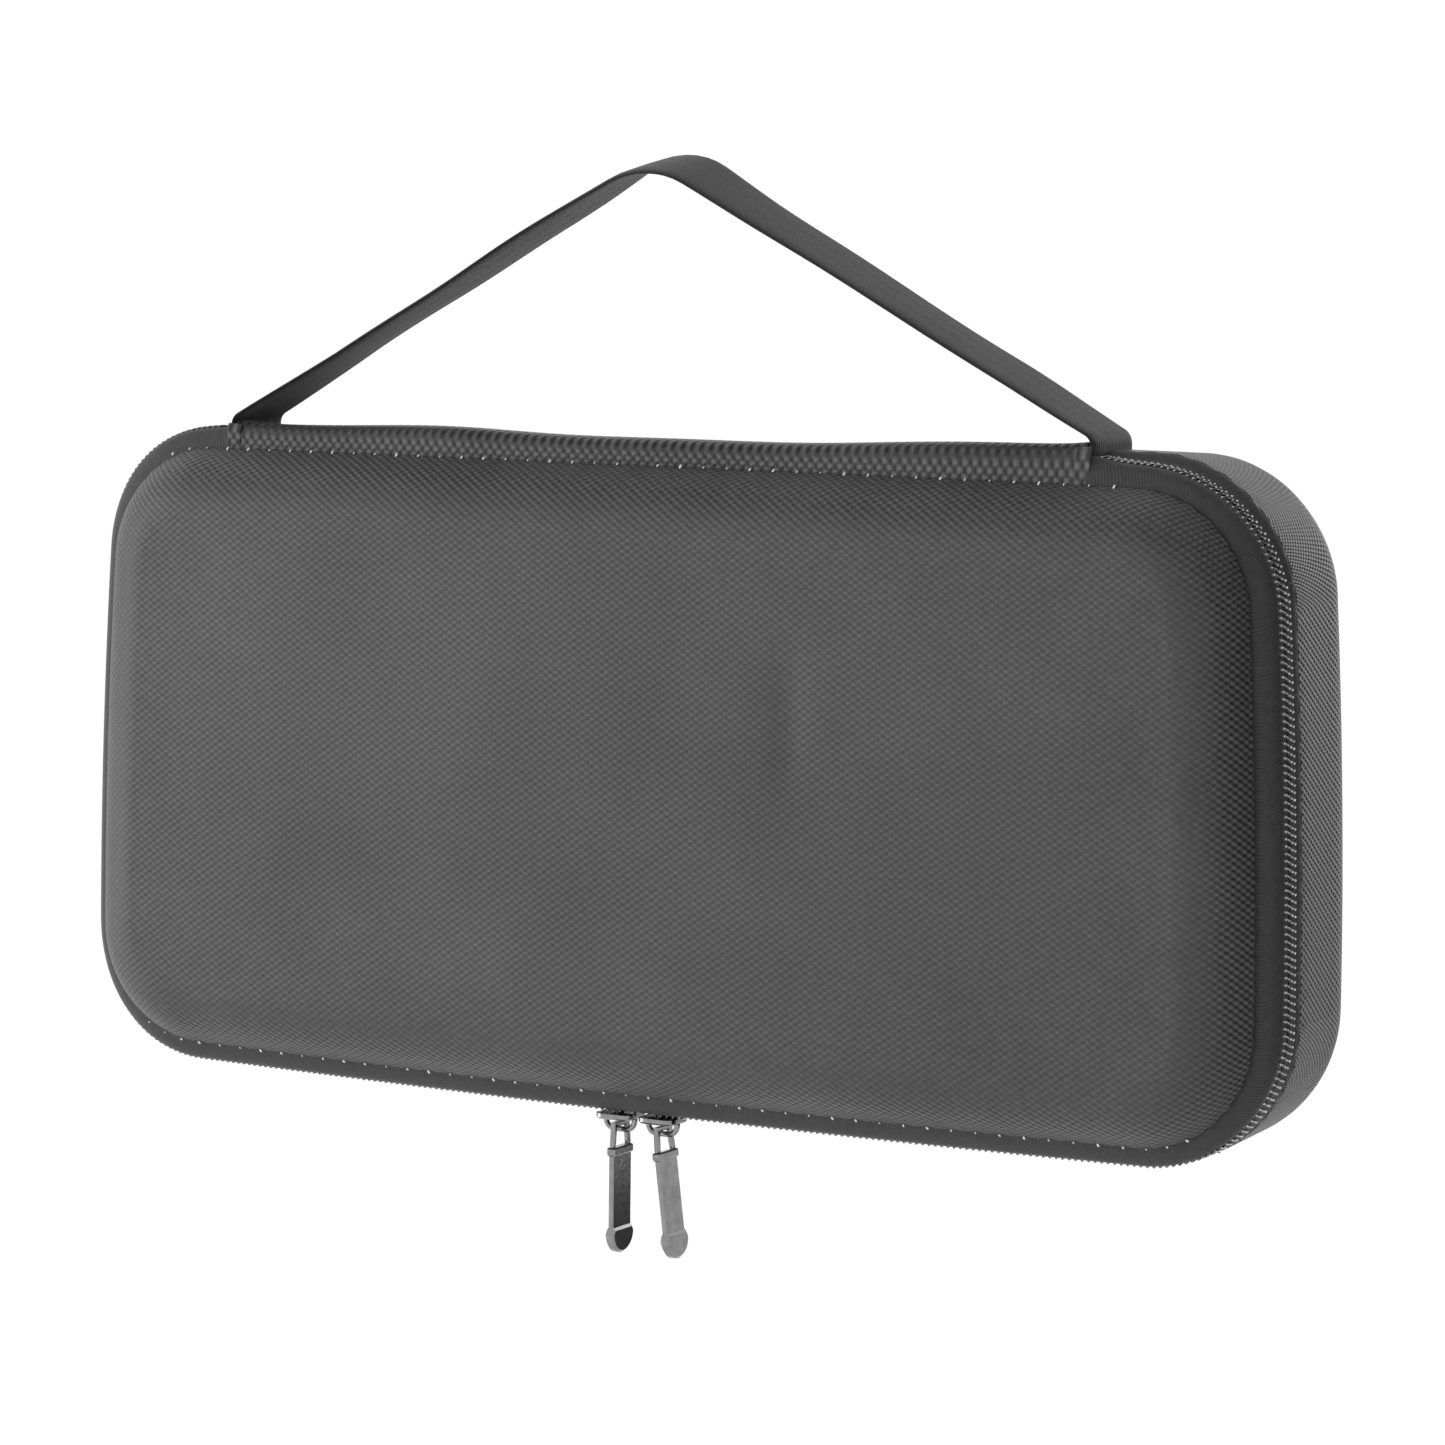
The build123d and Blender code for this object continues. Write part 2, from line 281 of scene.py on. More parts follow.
def colour_between(tree, shader, amount, stops):
    """Drives the base colour through a ramp of (place, grey) stops, a touch blue as dyed black is."""
    ramp = tree.nodes.new("ShaderNodeValToRGB")
    while len(ramp.color_ramp.elements) < len(stops):
        ramp.color_ramp.elements.new(0.5)
    for element, (place, tone) in zip(ramp.color_ramp.elements, stops):
        element.position = place
        element.color = (tone, tone, tone * 1.02, 1)
    tree.links.new(amount, ramp.inputs["Fac"])
    tree.links.new(ramp.outputs["Color"], shader.inputs["Base Color"])


def relief(tree, shader, height, distance):
    """Links a bump this deep, in metres, to the shader."""
    bump = tree.nodes.new("ShaderNodeBump")
    bump.inputs["Distance"].default_value = distance
    tree.links.new(height, bump.inputs["Height"])
    tree.links.new(bump.outputs["Normal"], shader.inputs["Normal"])


# %% [markdown]
# ## The coated weave
# The covers are a coarse plain weave with a thin coating. The yarn on top catches the light, and
# between the yarns are small pits in chequered order. The product of two sines gives that order,
# one sine along each yarn direction, and the colour follows it too: the pits are painted darker, as
# painted shade between the yarns. Pressing over the rounded edge pulls the yarns apart, so the pits
# are deeper there than on the flat front, in relief and in painted shade. A slow cloud makes some
# yarns paler than others.

# %% Woven cover cloth
YARN_ACROSS = 1.22 * MM
YARN_UP = 0.82 * MM
FLAT_DEPTH = 15.6 * MM
WALL_RISE = 260
FLAT_CONTRAST = 0.38
cover_cloth, tree, shader = finish("cover_cloth", 0.46, specular=0.42, sheen=0.08)
across, along = cloth_axes(tree)
pits = maths(tree, "MULTIPLY", wave(tree, across, YARN_ACROSS), wave(tree, along, YARN_UP))
weave = maths(tree, "MULTIPLY_ADD", pits, -0.5, 0.5)
wall = maths(tree, "MULTIPLY", maths(tree, "ADD", place_axes(tree)[1], FLAT_DEPTH), WALL_RISE)
wall = maths(tree, "MINIMUM", maths(tree, "MAXIMUM", wall, 0.0), 1.0)
contrast = maths(tree, "MULTIPLY_ADD", wall, 1 - FLAT_CONTRAST, FLAT_CONTRAST)
height = maths(tree, "MULTIPLY_ADD", maths(tree, "SUBTRACT", weave, 0.6), contrast, 0.6)
worn = maths(tree, "ADD", cloud(tree, 900, 2), cloud(tree, 30, 4))
# The colour follows the weave's height: painted shade darkens the pits between the yarns.
tone = maths(tree, "MULTIPLY_ADD", maths(tree, "SUBTRACT", worn, 1.0), 0.5, height)
colour_between(tree, shader, tone, [(0.0, 0.003), (0.32, 0.022), (0.6, 0.038), (1.0, 0.075)])
relief(tree, shader, height, 0.34 * MM)
print("finish:", cover_cloth.name)

# %% [markdown]
# ## Tape, webbing and thread
# Zip tape is a fine smooth twill and webbing is ribbed with a firm edge. Both follow the piece's
# cloth map. Thread is a small twisted cord, of which only the sheen shows.

# %% Tape, webbing and thread
def twill(name, tones, pitch, depth, roughness=0.6):
    """Slanted ribs that turn back at the tape's middle, as a herringbone."""
    material, tree, shader = finish(name, roughness, specular=0.3, sheen=0.10)
    along, across = cloth_axes(tree)
    turned = maths(tree, "PINGPONG", across, 2.6 * MM)
    ribs = wave(tree, maths(tree, "ADD", along, turned), pitch)
    height = maths(tree, "MULTIPLY_ADD", ribs, 0.5, 0.5)
    tone = maths(tree, "MULTIPLY_ADD", cloud(tree, 700, 3), 0.7, maths(tree, "MULTIPLY", height, 0.3))
    colour_between(tree, shader, tone, [(0.2, tones[0]), (0.8, tones[1])])
    relief(tree, shader, height, depth)
    return material


def thread(name, tones):
    """A twisted thread, whose twist follows the place on it."""
    material, tree, shader = finish(name, 0.4, specular=0.4, sheen=0.2)
    x, y, z = place_axes(tree)
    twist = wave(tree, maths(tree, "ADD", x, z), 0.18 * MM)
    tone = maths(tree, "MULTIPLY_ADD", twist, 0.3, 0.6)
    colour_between(tree, shader, tone, [(0.0, tones[0]), (1.0, tones[1])])
    return material


tape_cloth = twill("tape_cloth", (0.019, 0.040), 0.40 * MM, 0.05 * MM)
base_tape_cloth = twill("base_tape_cloth", (0.020, 0.040), 0.40 * MM, 0.05 * MM)
handle_webbing = twill("handle_webbing", (0.004, 0.011), 0.36 * MM, 0.07 * MM, 0.6)
pale_thread = thread("pale_thread", (0.70, 0.95))
dark_thread = thread("dark_thread", (0.02, 0.06))
print("finishes:", tape_cloth.name, handle_webbing.name, pale_thread.name)

# %% [markdown]
# ## Nylon, metal, foam and lining
# Coil is a glossy nylon line. The sliders and pulls are zinc with a dark polished plating, so
# they are nearly all reflection. Foam and lining only show when the lid is open.

# %% Nylon, metal, foam and lining
nylon, tree, shader = finish("nylon", 0.28, specular=0.6, coat=0.2)
colour_between(tree, shader, cloud(tree, 500), [(0.3, 0.03), (0.7, 0.11)])

# A pale colour for the coil's heads: painted highlights, the glossy nylon's glints as colour.
nylon_painted_glints, tree, shader = finish("nylon_painted_glints", 0.2, specular=0.8, coat=0.5)
colour_between(tree, shader, cloud(tree, 700), [(0.3, 0.35), (0.7, 0.95)])

plating, tree, shader = finish("plating", 0.14, specular=0.5, metallic=1.0)
colour_between(tree, shader, cloud(tree, 420, 4), [(0.3, 0.21), (0.7, 0.29)])
relief(tree, shader, cloud(tree, 900, 3), 0.015 * MM)

foam, tree, shader = finish("foam", 0.85, specular=0.25)
colour_between(tree, shader, cloud(tree, 1500, 4), [(0.2, 0.012), (0.8, 0.030)])
relief(tree, shader, cloud(tree, 2200, 3), 0.15 * MM)

lining, tree, shader = finish("lining", 0.95, specular=0.15, sheen=0.6)
shader.inputs["Sheen Roughness"].default_value = 0.4
tufts = cloud(tree, 1700, 5)
patches = maths(tree, "MULTIPLY", cloud(tree, 60, 4), 0.4)
pile = maths(tree, "MULTIPLY_ADD", tufts, 0.6, patches)
colour_between(tree, shader, pile, [(0.2, 0.010), (0.8, 0.050)])
relief(tree, shader, cloud(tree, 2600, 4), 0.20 * MM)

# %% Narrow weaves, and the CAD pieces' finishes
def narrow_weave(name, pitch):
    """A small plain weave over Object coordinates, for bindings, elastic and net."""
    material, tree, shader = finish(name, 0.7, specular=0.3, sheen=0.2)
    x, y, z = place_axes(tree)
    rows = maths(tree, "MULTIPLY", wave(tree, x, pitch), wave(tree, z, pitch))
    height = maths(tree, "MULTIPLY_ADD", rows, 0.5, 0.5)
    colour_between(tree, shader, height, [(0.0, 0.012), (1.0, 0.045)])
    relief(tree, shader, height, 0.08 * MM)
    return material


binding = narrow_weave("binding", 0.5 * MM)
elastic_cloth = narrow_weave("elastic_cloth", 0.6 * MM)
net_cord = narrow_weave("net_cord", 0.3 * MM)
kept_nodes = {
    "slider_body_left": plating, "slider_body_right": plating,
    "slider_crown_left": plating, "slider_crown_right": plating,
    "pull_left": plating, "pull_right": plating,
    "lid_shell": foam, "base_shell": foam,
    "lid_lining": lining, "base_lining": lining,
    "lid_edge_binding": binding, "base_edge_binding": binding,
}
for name, material in kept_nodes.items():
    slots = frame["nodes"][name].data.materials
    slots.clear()
    slots.append(material)
print("CAD pieces dressed:", len(kept_nodes))

# %% [markdown]
# ## The outline as a road
# Covers, tape, teeth and stitches all run round one outline, so it is written once, as a road of
# ten arcs. It starts at the middle of the crest and goes clockwise, seen from the lid. A place on
# it is a distance along it and an inset from its outer edge.

# %% The outline as a road
def circle_through(a, b, c):
    """Centre and radius of the circle through three points."""
    u, v = b - a, c - a
    cross = 2 * (u.x * v.y - u.y * v.x)
    centre = a + Vector((
        (v.y * u.length_squared - u.y * v.length_squared) / cross,
        (u.x * v.length_squared - v.x * u.length_squared) / cross,
    ))
    return centre, (a - centre).length


def turn_of(start, end):
    """Angle of the line from one point to another."""
    return math.atan2(end.y - start.y, end.x - start.x)


def corner_centre(arc_c, arc_r, sign):
    """Centre of the corner between the side and the top (sign 1) or the foot (sign -1)."""
    x, z = WAIST_HALF - CORNER_R, sign * (HALF_H - CORNER_R)
    for _ in range(20):
        x = side_c.x + math.sqrt((side_r - CORNER_R) ** 2 - (z - side_c.y) ** 2)
        z = arc_c.y + sign * math.sqrt((arc_r - CORNER_R) ** 2 - x**2)
    return Vector((x, z))


top_corner = Vector((TOP_HALF, HALF_H))
foot_corner = Vector((FOOT_HALF, -HALF_H))
side_c, side_r = circle_through(top_corner, Vector((WAIST_HALF, 0)), foot_corner)
top_c, top_r = circle_through(Vector((-TOP_HALF, HALF_H)), Vector((0, HALF_H + TOP_BOW)), top_corner)
foot_c, foot_r = circle_through(Vector((-FOOT_HALF, -HALF_H)), Vector((0, -HALF_H - FOOT_BOW)), foot_corner)
high = corner_centre(top_c, top_r, 1)
low = corner_centre(foot_c, foot_r, -1)
right_half = [
    (top_c, top_r, math.pi / 2, turn_of(top_c, high)),
    (high, CORNER_R, turn_of(top_c, high), turn_of(side_c, high)),
    (side_c, side_r, turn_of(side_c, high), turn_of(side_c, low)),
    (low, CORNER_R, turn_of(side_c, low), turn_of(foot_c, low)),
    (foot_c, foot_r, turn_of(foot_c, low), -math.pi / 2),
]
road = list(right_half)
for centre, radius, begin, end in reversed(right_half):
    road.append((Vector((-centre.x, centre.y)), radius, -math.pi - end, -math.pi - begin))
road_length = sum(radius * (begin - end) for centre, radius, begin, end in road)

# %% Places on the road
def on_road(distance):
    """Point, outward direction and forward direction, as flat vectors, at a distance."""
    left = distance % road_length
    for centre, radius, begin, end in road:
        if left <= radius * (begin - end) + 1e-9:
            break
        left -= radius * (begin - end)
    angle = begin - left / radius
    out = Vector((math.cos(angle), math.sin(angle)))
    return centre + out * radius, out, Vector((out.y, -out.x))


def off_road(place):
    """Distance along the road and inset from it, of a place in the frame."""
    flat = Vector((place.x - RIM_X, place.z - MID_Z))
    passed, best = 0.0, None
    for centre, radius, begin, end in road:
        spoke = flat - centre
        middle = (begin + end) / 2
        angle = math.atan2(spoke.y, spoke.x)
        angle += 2 * math.pi * round((middle - angle) / (2 * math.pi))
        angle = max(end, min(begin, angle))
        inset = radius - spoke.length
        gap = (flat - centre - Vector((math.cos(angle), math.sin(angle))) * (radius - inset)).length
        if best is None or gap + abs(inset) < best[0]:
            best = (gap + abs(inset), passed + radius * (begin - angle), inset)
        passed += radius * (begin - end)
    return best[1], best[2]


def road_place(distance, inset, y):
    """A place in the frame, from the road."""
    point, out, forward = on_road(distance)
    flat = point - out * inset
    return Vector((flat.x + RIM_X, y, flat.y + MID_Z))


def crest_distance(x):
    """Distance along the road of the crest over x."""
    return math.asin((x - RIM_X) / top_r) * top_r


print(f"once round the zip: {road_length * 1000:.0f} mm")

# %% [markdown]
# ## Sweeping a profile round the case
# Covers, tape and hinge are the same kind of shape: a profile carried round the outline. Each arc
# of the road is one Spin about that arc's own centre, which is how it would be done by hand. The
# spin leaves its last edges selected, so the next arc goes on from there.

# %% Sweep and its helpers
def start_line(name, places):
    """A line of edges through the places, selected in edit mode."""
    clear_selection()
    bpy.ops.mesh.primitive_circle_add(vertices=len(places), radius=1)
    piece = bpy.context.object
    piece.name = name
    piece.data.name = name
    for vertex, place in zip(piece.data.vertices, places):
        vertex.co = place
    last = len(places) - 1
    bpy.ops.object.mode_set(mode="EDIT")
    bpy.ops.mesh.select_all(action="DESELECT")
    bpy.ops.object.mode_set(mode="OBJECT")
    for edge in piece.data.edges:
        edge.select = set(edge.vertices) == {0, last}
    bpy.ops.object.mode_set(mode="EDIT")
    bpy.ops.mesh.select_mode(type="EDGE")
    bpy.ops.mesh.delete(type="EDGE")
    bpy.ops.mesh.select_mode(type="VERT")
    bpy.ops.mesh.select_all(action="SELECT")
    return piece


def sweep(name, profile, begin, end, spacing):
    """The profile, as (inset, y), spun along the road from one distance to another."""
    piece = start_line(name, [road_place(begin, inset, y) for inset, y in profile])
    passed = 0.0
    for centre, radius, arc_begin, arc_end in road:
        length = radius * (arc_begin - arc_end)
        part = min(end, passed + length) - max(begin, passed)
        passed += length
        if part < 1e-6:
            continue
        bpy.ops.mesh.spin(
            steps=2 * max(1, round(part / spacing / 2)),
            angle=-part / radius,
            center=(centre.x + RIM_X, 0, centre.y + MID_Z),
            axis=(0, 1, 0),
        )
    bpy.ops.mesh.select_all(action="SELECT")
    bpy.ops.mesh.remove_doubles(threshold=0.2 * MM)
    bpy.ops.object.mode_set(mode="OBJECT")
    return piece

# %% Choosing, mapping and dressing
def choose(piece, wanted):
    """Enters edit mode with just the vertices for which wanted(place) is true."""
    clear_selection()
    bpy.context.view_layer.objects.active = piece
    piece.select_set(True)
    bpy.ops.object.mode_set(mode="EDIT")
    bpy.ops.mesh.select_mode(type="VERT")
    bpy.ops.mesh.select_all(action="DESELECT")
    bpy.ops.object.mode_set(mode="OBJECT")
    for vertex in piece.data.vertices:
        vertex.select = wanted(vertex.co)
    bpy.ops.object.mode_set(mode="EDIT")


def turn_outwards(piece, centre):
    """Makes the faces agree, and then looks away from a point inside."""
    choose(piece, lambda place: True)
    bpy.ops.mesh.normals_make_consistent(inside=False)
    bpy.ops.object.mode_set(mode="OBJECT")
    facing = sum(p.normal.dot(p.center - centre) * p.area for p in piece.data.polygons)
    if facing < 0:
        choose(piece, lambda place: True)
        bpy.ops.mesh.flip_normals()
        bpy.ops.object.mode_set(mode="OBJECT")


def move_each(piece, shift):
    """Moves every vertex by shift(place)."""
    for vertex in piece.data.vertices:
        vertex.co = vertex.co + shift(vertex.co)


def map_cloth(piece, cloth):
    """Writes the cloth map: cloth(place) is metres along and across the flat cloth."""
    layer = piece.data.uv_layers.get(CLOTH_MAP) or piece.data.uv_layers.new(name=CLOTH_MAP)
    spots = [cloth(vertex.co) for vertex in piece.data.vertices]
    for loop in piece.data.loops:
        layer.data[loop.index].uv = spots[loop.vertex_index]


def thicken(piece, thickness, smooth=50):
    """Gives a sheet its thickness on the inner side and smooths it."""
    solid = piece.modifiers.new("thickness", "SOLIDIFY")
    solid.thickness = thickness
    solid.offset = -1
    clear_selection()
    bpy.context.view_layer.objects.active = piece
    piece.select_set(True)
    bpy.ops.object.modifier_apply(modifier=solid.name)
    bpy.ops.object.shade_smooth_by_angle(angle=math.radians(smooth))


def join(pieces, name):
    """Joins pieces into the first one."""
    clear_selection()
    for piece in pieces:
        piece.select_set(True)
    bpy.context.view_layer.objects.active = pieces[0]
    if len(pieces) > 1:
        bpy.ops.object.join()
    pieces[0].name = name
    pieces[0].data.name = name
    return pieces[0]


def dress(piece, material, body=None, replaced=()):
    """Material, body, and the CAD nodes that the piece stands for."""
    piece.data.materials.clear()
    piece.data.materials.append(material)
    if body:
        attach(piece, body)
    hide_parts(*replaced)
    print(f"{piece.name}: {len(piece.data.polygons)} faces")


# %% [markdown]
# ## The moulded covers
# The cover cloth is pressed over the foam in one go, so the weave runs from the front over the
# edge and is squeezed at the corners. The wall and its round edge are swept, and a grid fills the
# flat. The cloth map is the flat sheet before pressing, which is what squeezes the corners. Soft
# cases aren't true: the sides lie a little further back, and the handle lifts the top right corner.

# %% How the covers are pressed and pulled
STITCH_PITCH = 5.9 * MM


def side_bend(distance):
    """Along the sides the soft edge lies a little further back than at the top and bottom."""
    return 2.3 * MM * on_road(distance)[1].x ** 4


def corner_pull(distance, place):
    """The handle's pull holds the base's top right corner up."""
    out = on_road(distance)[1]
    along = 1 / (1 + math.exp(-(place.x - 50 * MM) / (12 * MM)))
    return 2.5 * MM * along * max(0.0, out.y) ** 0.6


def rounded_wall(seam, lean, front_y, radius, tuck, walls, bends):
    """Profile from the tucked seam, up a leaning wall, round into the flat."""
    inset, y = seam
    way = 1 if front_y > y else -1
    flat_inset = inset + abs(front_y - y) * math.tan(lean) + radius * math.tan(math.pi / 4 - lean / 2)
    bend = []
    for step in range(bends + 1):
        angle = lean + (math.pi / 2 - lean) * step / bends
        bend.append((flat_inset - radius * math.cos(angle), front_y - way * radius * (1 - math.sin(angle))))
    points = [(inset + tuck, y - way * tuck * 0.8), (inset + 0.25 * tuck, y - way * tuck * 0.3)]
    for step in range(walls):
        share = step / walls
        points.append((inset + (bend[0][0] - inset) * share, y + (bend[0][1] - y) * share))
    return points + bend


def sheet_reach(profile, y):
    """Length of the profile between the flat and a depth y."""
    reach = 0.0
    for (inset_a, y_a), (inset_b, y_b) in zip(profile[:0:-1], profile[-2::-1]):
        part = math.hypot(inset_a - inset_b, y_a - y_b)
        if abs(y_b - profile[-1][1]) >= abs(y - profile[-1][1]):
            return reach + part * abs(y - y_a) / max(1e-9, abs(y_b - y_a))
        reach += part
    return reach

# %% Moulded covers
def moulded_cover(name, profile, swell, bend, pull, draw):
    """A pressed cover, from its seam's profile and the swell of its flat.

    bend and pull say how much of side_bend and corner_pull it takes, and draw is how far its
    left edge is drawn in.
    """
    cover = sweep(name, profile, 0, road_length, 1.45 * MM)
    flat_inset, flat_y = profile[-1]
    choose(cover, lambda place: abs(place.y - flat_y) < 1e-6)
    bpy.ops.mesh.fill_grid()
    bpy.ops.object.mode_set(mode="OBJECT")
    turn_outwards(cover, Vector((RIM_X, -flat_y, MID_Z)))

    def pressed(place):
        distance, inset = off_road(place)
        if inset >= flat_inset - 1e-6 or abs(place.y - flat_y) < 1e-7:
            return place.x - RIM_X, place.z - MID_Z
        point, out, forward = on_road(distance)
        flat = point + out * (sheet_reach(profile, place.y) - flat_inset)
        return flat.x, flat.y

    map_cloth(cover, pressed)

    def settle(place):
        distance, inset = off_road(place)
        point, out, forward = on_road(distance)
        near_seam = max(0.0, 1 - abs(place.y - profile[2][1]) / (3 * MM))
        pucker = 0.13 * MM * near_seam * math.cos(2 * math.pi * distance / STITCH_PITCH)
        full = min(1.0, max(0.0, (inset - profile[2][0]) / (flat_inset - profile[2][0]))) ** 2
        back = bend * side_bend(distance) * max(0.0, 1 - abs(place.y - profile[2][1]) / (20 * MM))
        up = pull * corner_pull(distance, place) * max(0.0, 1 - inset / (30 * MM))
        left = max(0.0, -out.x) * max(0.0, 1 - inset / (40 * MM))
        push = pucker + up - draw * left
        deep = swell(place.x - RIM_X, place.z - MID_Z) * full + back
        return Vector((out.x * (push - 0.6 * up), deep, out.y * push))

    move_each(cover, settle)
    thicken(cover, 0.7 * MM)
    return cover

# %% The lid's and the base's covers
def lid_swell(x, z):
    """The lid's front is a little crowned, with one shallow dent and slow waves."""
    crown = -0.9 * MM * max(0.0, 1 - (x / WAIST_HALF) ** 2) * max(0.0, 1 - (z / HALF_H) ** 2)
    dent_x, dent_z = x - 43 * MM, z - 17 * MM
    dent = 0.5 * MM * math.exp(-((dent_x / (4.5 * MM)) ** 2) - (dent_z / (15 * MM)) ** 2)
    return crown + dent + 0.08 * MM * math.sin(x * 42 + 1.3) * math.sin(z * 55 + 0.4)


def back_swell(x, z):
    """The back is pressed flat, with waves too low to rock on."""
    return 0.06 * MM * math.sin(x * 38 + 0.7) * math.sin(z * 47 + 2.1)


lid_seam = (5.1 * MM, lid_high[1])
lid_wall = rounded_wall(lid_seam, math.radians(27), lid_low[1], 15.5 * MM, 0.7 * MM, 2, 12)
lid_cover = moulded_cover("lid_cover_cloth", lid_wall, lid_swell, 0, 0, 1.3 * MM)
dress(lid_cover, cover_cloth, "lid", ("lid_cover",))

base_seam = (0.3 * MM, cover_low[1])
base_wall = rounded_wall(base_seam, math.radians(2.5), cover_high[1], 17 * MM, 0.5 * MM, 8, 13)
base_cover = moulded_cover("base_cover_cloth", base_wall, back_swell, 1, 1, 0)
dress(base_cover, cover_cloth, "base", ("base_cover",))

# %% [markdown]
# ## The zip's tape
# Two strips of tape run from the seams up to the coils and leave the crest free for the hinge.
# Near their ends they are gathered into the seam, so small folds fan out there.

# %% Zip tape
tape_begin = crest_distance(110.9 * MM)
tape_end = crest_distance(-110.9 * MM) + road_length


def anchor_lift(distance, place):
    """The handle lifts the ends of the zip, most of all on the right."""
    from_end = min(distance - tape_begin, tape_end - distance)
    most, fade = (2.2, 6.5) if place.x > 0 else (1.0, 5.0)
    return most * MM * math.exp(-max(0.0, from_end) / (fade * MM))


def tape_strip(name, profile, folds, pull):
    """One strip of tape, with folds this deep at its ends, and the corner's pull or none."""
    strip = sweep(name, profile, tape_begin, tape_end, 1.1 * MM)
    turn_outwards(strip, MIDDLE)
    map_cloth(strip, lambda place: (off_road(place)[0], place.y))

    def gather(place):
        distance, inset = off_road(place)
        point, out, forward = on_road(distance)
        bend = side_bend(distance) * min(1.0, max(0.0, (place.y + 6 * MM) / (2.5 * MM)))
        lift = anchor_lift(distance, place) * min(1.0, max(0.0, (6 * MM - inset) / (5 * MM)))
        from_end = min(distance - tape_begin, tape_end - distance)
        fade = math.exp(-max(0.0, from_end) / (10 * MM)) * min(1.0, max(0.0, inset - 1.2 * MM) / (2 * MM))
        fold = folds * fade * math.sin(2 * math.pi * (distance + 0.5 * place.y) / (3.3 * MM))
        raised = pull * corner_pull(distance, place) * min(1.0, max(0.0, (place.y - 1.5 * MM) / (3 * MM)))
        lift = max(lift, out.y * raised)
        return Vector((out.x * (fold + 0.4 * raised), bend - abs(fold) * 0.3, out.y * fold + lift))

    move_each(strip, gather)
    thicken(strip, 0.45 * MM)
    return strip


# %% The two tapes
lid_tape_profile = [
    (7.4 * MM, -5.6 * MM), (5.3 * MM, -5.3 * MM), (3.7 * MM, -5.1 * MM), (2.4 * MM, -4.6 * MM),
    (1.3 * MM, -4.0 * MM), (0.75 * MM, -3.3 * MM), (0.85 * MM, -2.2 * MM), (0.9 * MM, -0.3 * MM),
]
base_tape_profile = [
    (0.9 * MM, 0.3 * MM), (0.85 * MM, 2.2 * MM), (0.8 * MM, 3.3 * MM), (0.6 * MM, 4.0 * MM),
    (0.5 * MM, 4.7 * MM), (0.55 * MM, 5.3 * MM), (1.0 * MM, 5.7 * MM),
]
lid_tape = tape_strip("lid_tape", lid_tape_profile, 0.22 * MM, 0)
base_tape = tape_strip("base_tape", base_tape_profile, 0.0, 1)
dress(lid_tape, tape_cloth, "lid", ("lid_zip_tape",))
dress(base_tape, base_tape_cloth, "base", ("base_zip_tape",))

# %% [markdown]
# ## The nylon coil
# Each half of the chain is one bent line of nylon. From outside, a turn of it is a short bar that
# climbs from the tape to the middle and slants along the chain, and the halves stand half a turn
# apart. One turn is extruded from a six-sided ring and copied along the road. The bends come to
# the surface as small heads. They are spheres in a pale colour, which is a painted highlight: the
# glints of the glossy nylon are painted into their colour.

# %% Nylon coil
COIL_PITCH = 1.55 * MM
zip_begin = crest_distance(113.6 * MM)
zip_end = crest_distance(-113.6 * MM) + road_length


def bent_rod(name, stations):
    """A closed six-sided rod through stations of (x, y, z, radius), in millimetres, along Y."""
    clear_selection()
    x, y, z, size = stations[0]
    bpy.ops.mesh.primitive_circle_add(
        vertices=6, radius=size * MM, fill_type="NGON", location=(x * MM, y * MM, z * MM),
        rotation=(math.pi / 2, 0, 0),
    )
    rod = bpy.context.object
    rod.name = name
    bpy.ops.object.transform_apply(location=True, rotation=True, scale=True)
    bpy.ops.object.mode_set(mode="EDIT")
    bpy.ops.mesh.select_all(action="SELECT")
    for (xa, ya, za, ra), (xb, yb, zb, rb) in zip(stations, stations[1:]):
        move = ((xb - xa) * MM, (yb - ya) * MM, (zb - za) * MM)
        bpy.ops.mesh.extrude_region_move(TRANSFORM_OT_translate={"value": move})
        bpy.ops.transform.resize(value=(rb / ra, 1, rb / ra), center_override=(xb * MM, yb * MM, zb * MM))
    bpy.ops.mesh.select_all(action="SELECT")
    bpy.ops.mesh.normals_make_consistent(inside=False)
    bpy.ops.object.mode_set(mode="OBJECT")
    bpy.ops.object.shade_smooth_by_angle(angle=math.radians(60))
    return rod


def along_road(distance, inset, y):
    """Matrix that stands a shape on the road: x runs along it, z points outwards."""
    point, out, forward = on_road(distance)
    place = road_place(distance, inset, y)
    return Matrix((
        (forward.x, 0, out.x, place.x),
        (0, 1, 0, place.y),
        (forward.y, 0, out.y, place.z),
        (0, 0, 0, 1),
    ))


def copy_to(shape, stands, name):
    """One copy of the shape's mesh at each stand, joined, and the shape removed."""
    copies = []
    for stand_matrix in stands:
        copy = bpy.data.objects.new(name, shape.data.copy())
        copy.data.transform(stand_matrix)
        bpy.context.collection.objects.link(copy)
        copies.append(copy)
    bpy.data.objects.remove(shape)
    return join(copies, name)


# %% One turn, copied along the zip
turns = int((zip_end - zip_begin) / COIL_PITCH)
lid_turn = bent_rod("lid_turn", [
    (-0.50, -3.2, -1.25, 0.24), (-0.44, -2.95, -0.62, 0.30), (-0.30, -2.3, -0.42, 0.25),
    (0.05, -1.2, -0.38, 0.25), (0.36, -0.2, -0.44, 0.25), (0.44, 0.1, -0.80, 0.22),
])
base_turn = bent_rod("base_turn", [
    (0.34, 2.75, -1.0, 0.18), (0.30, 2.3, -0.72, 0.20), (0.10, 1.4, -0.72, 0.20),
    (-0.06, 0.6, -0.72, 0.20), (-0.12, 0.2, -1.0, 0.18),
])


def bead(name, places):
    """Small rounded heads where the coil's bends come to the surface."""
    beads = []
    for x, y, z, size in places:
        clear_selection()
        middle = (x * MM, y * MM, z * MM)
        bpy.ops.mesh.primitive_ico_sphere_add(subdivisions=1, radius=size * MM, location=middle)
        bpy.ops.object.transform_apply(location=True, rotation=True, scale=True)
        bpy.ops.object.shade_smooth()
        beads.append(bpy.context.object)
    return join(beads, name)


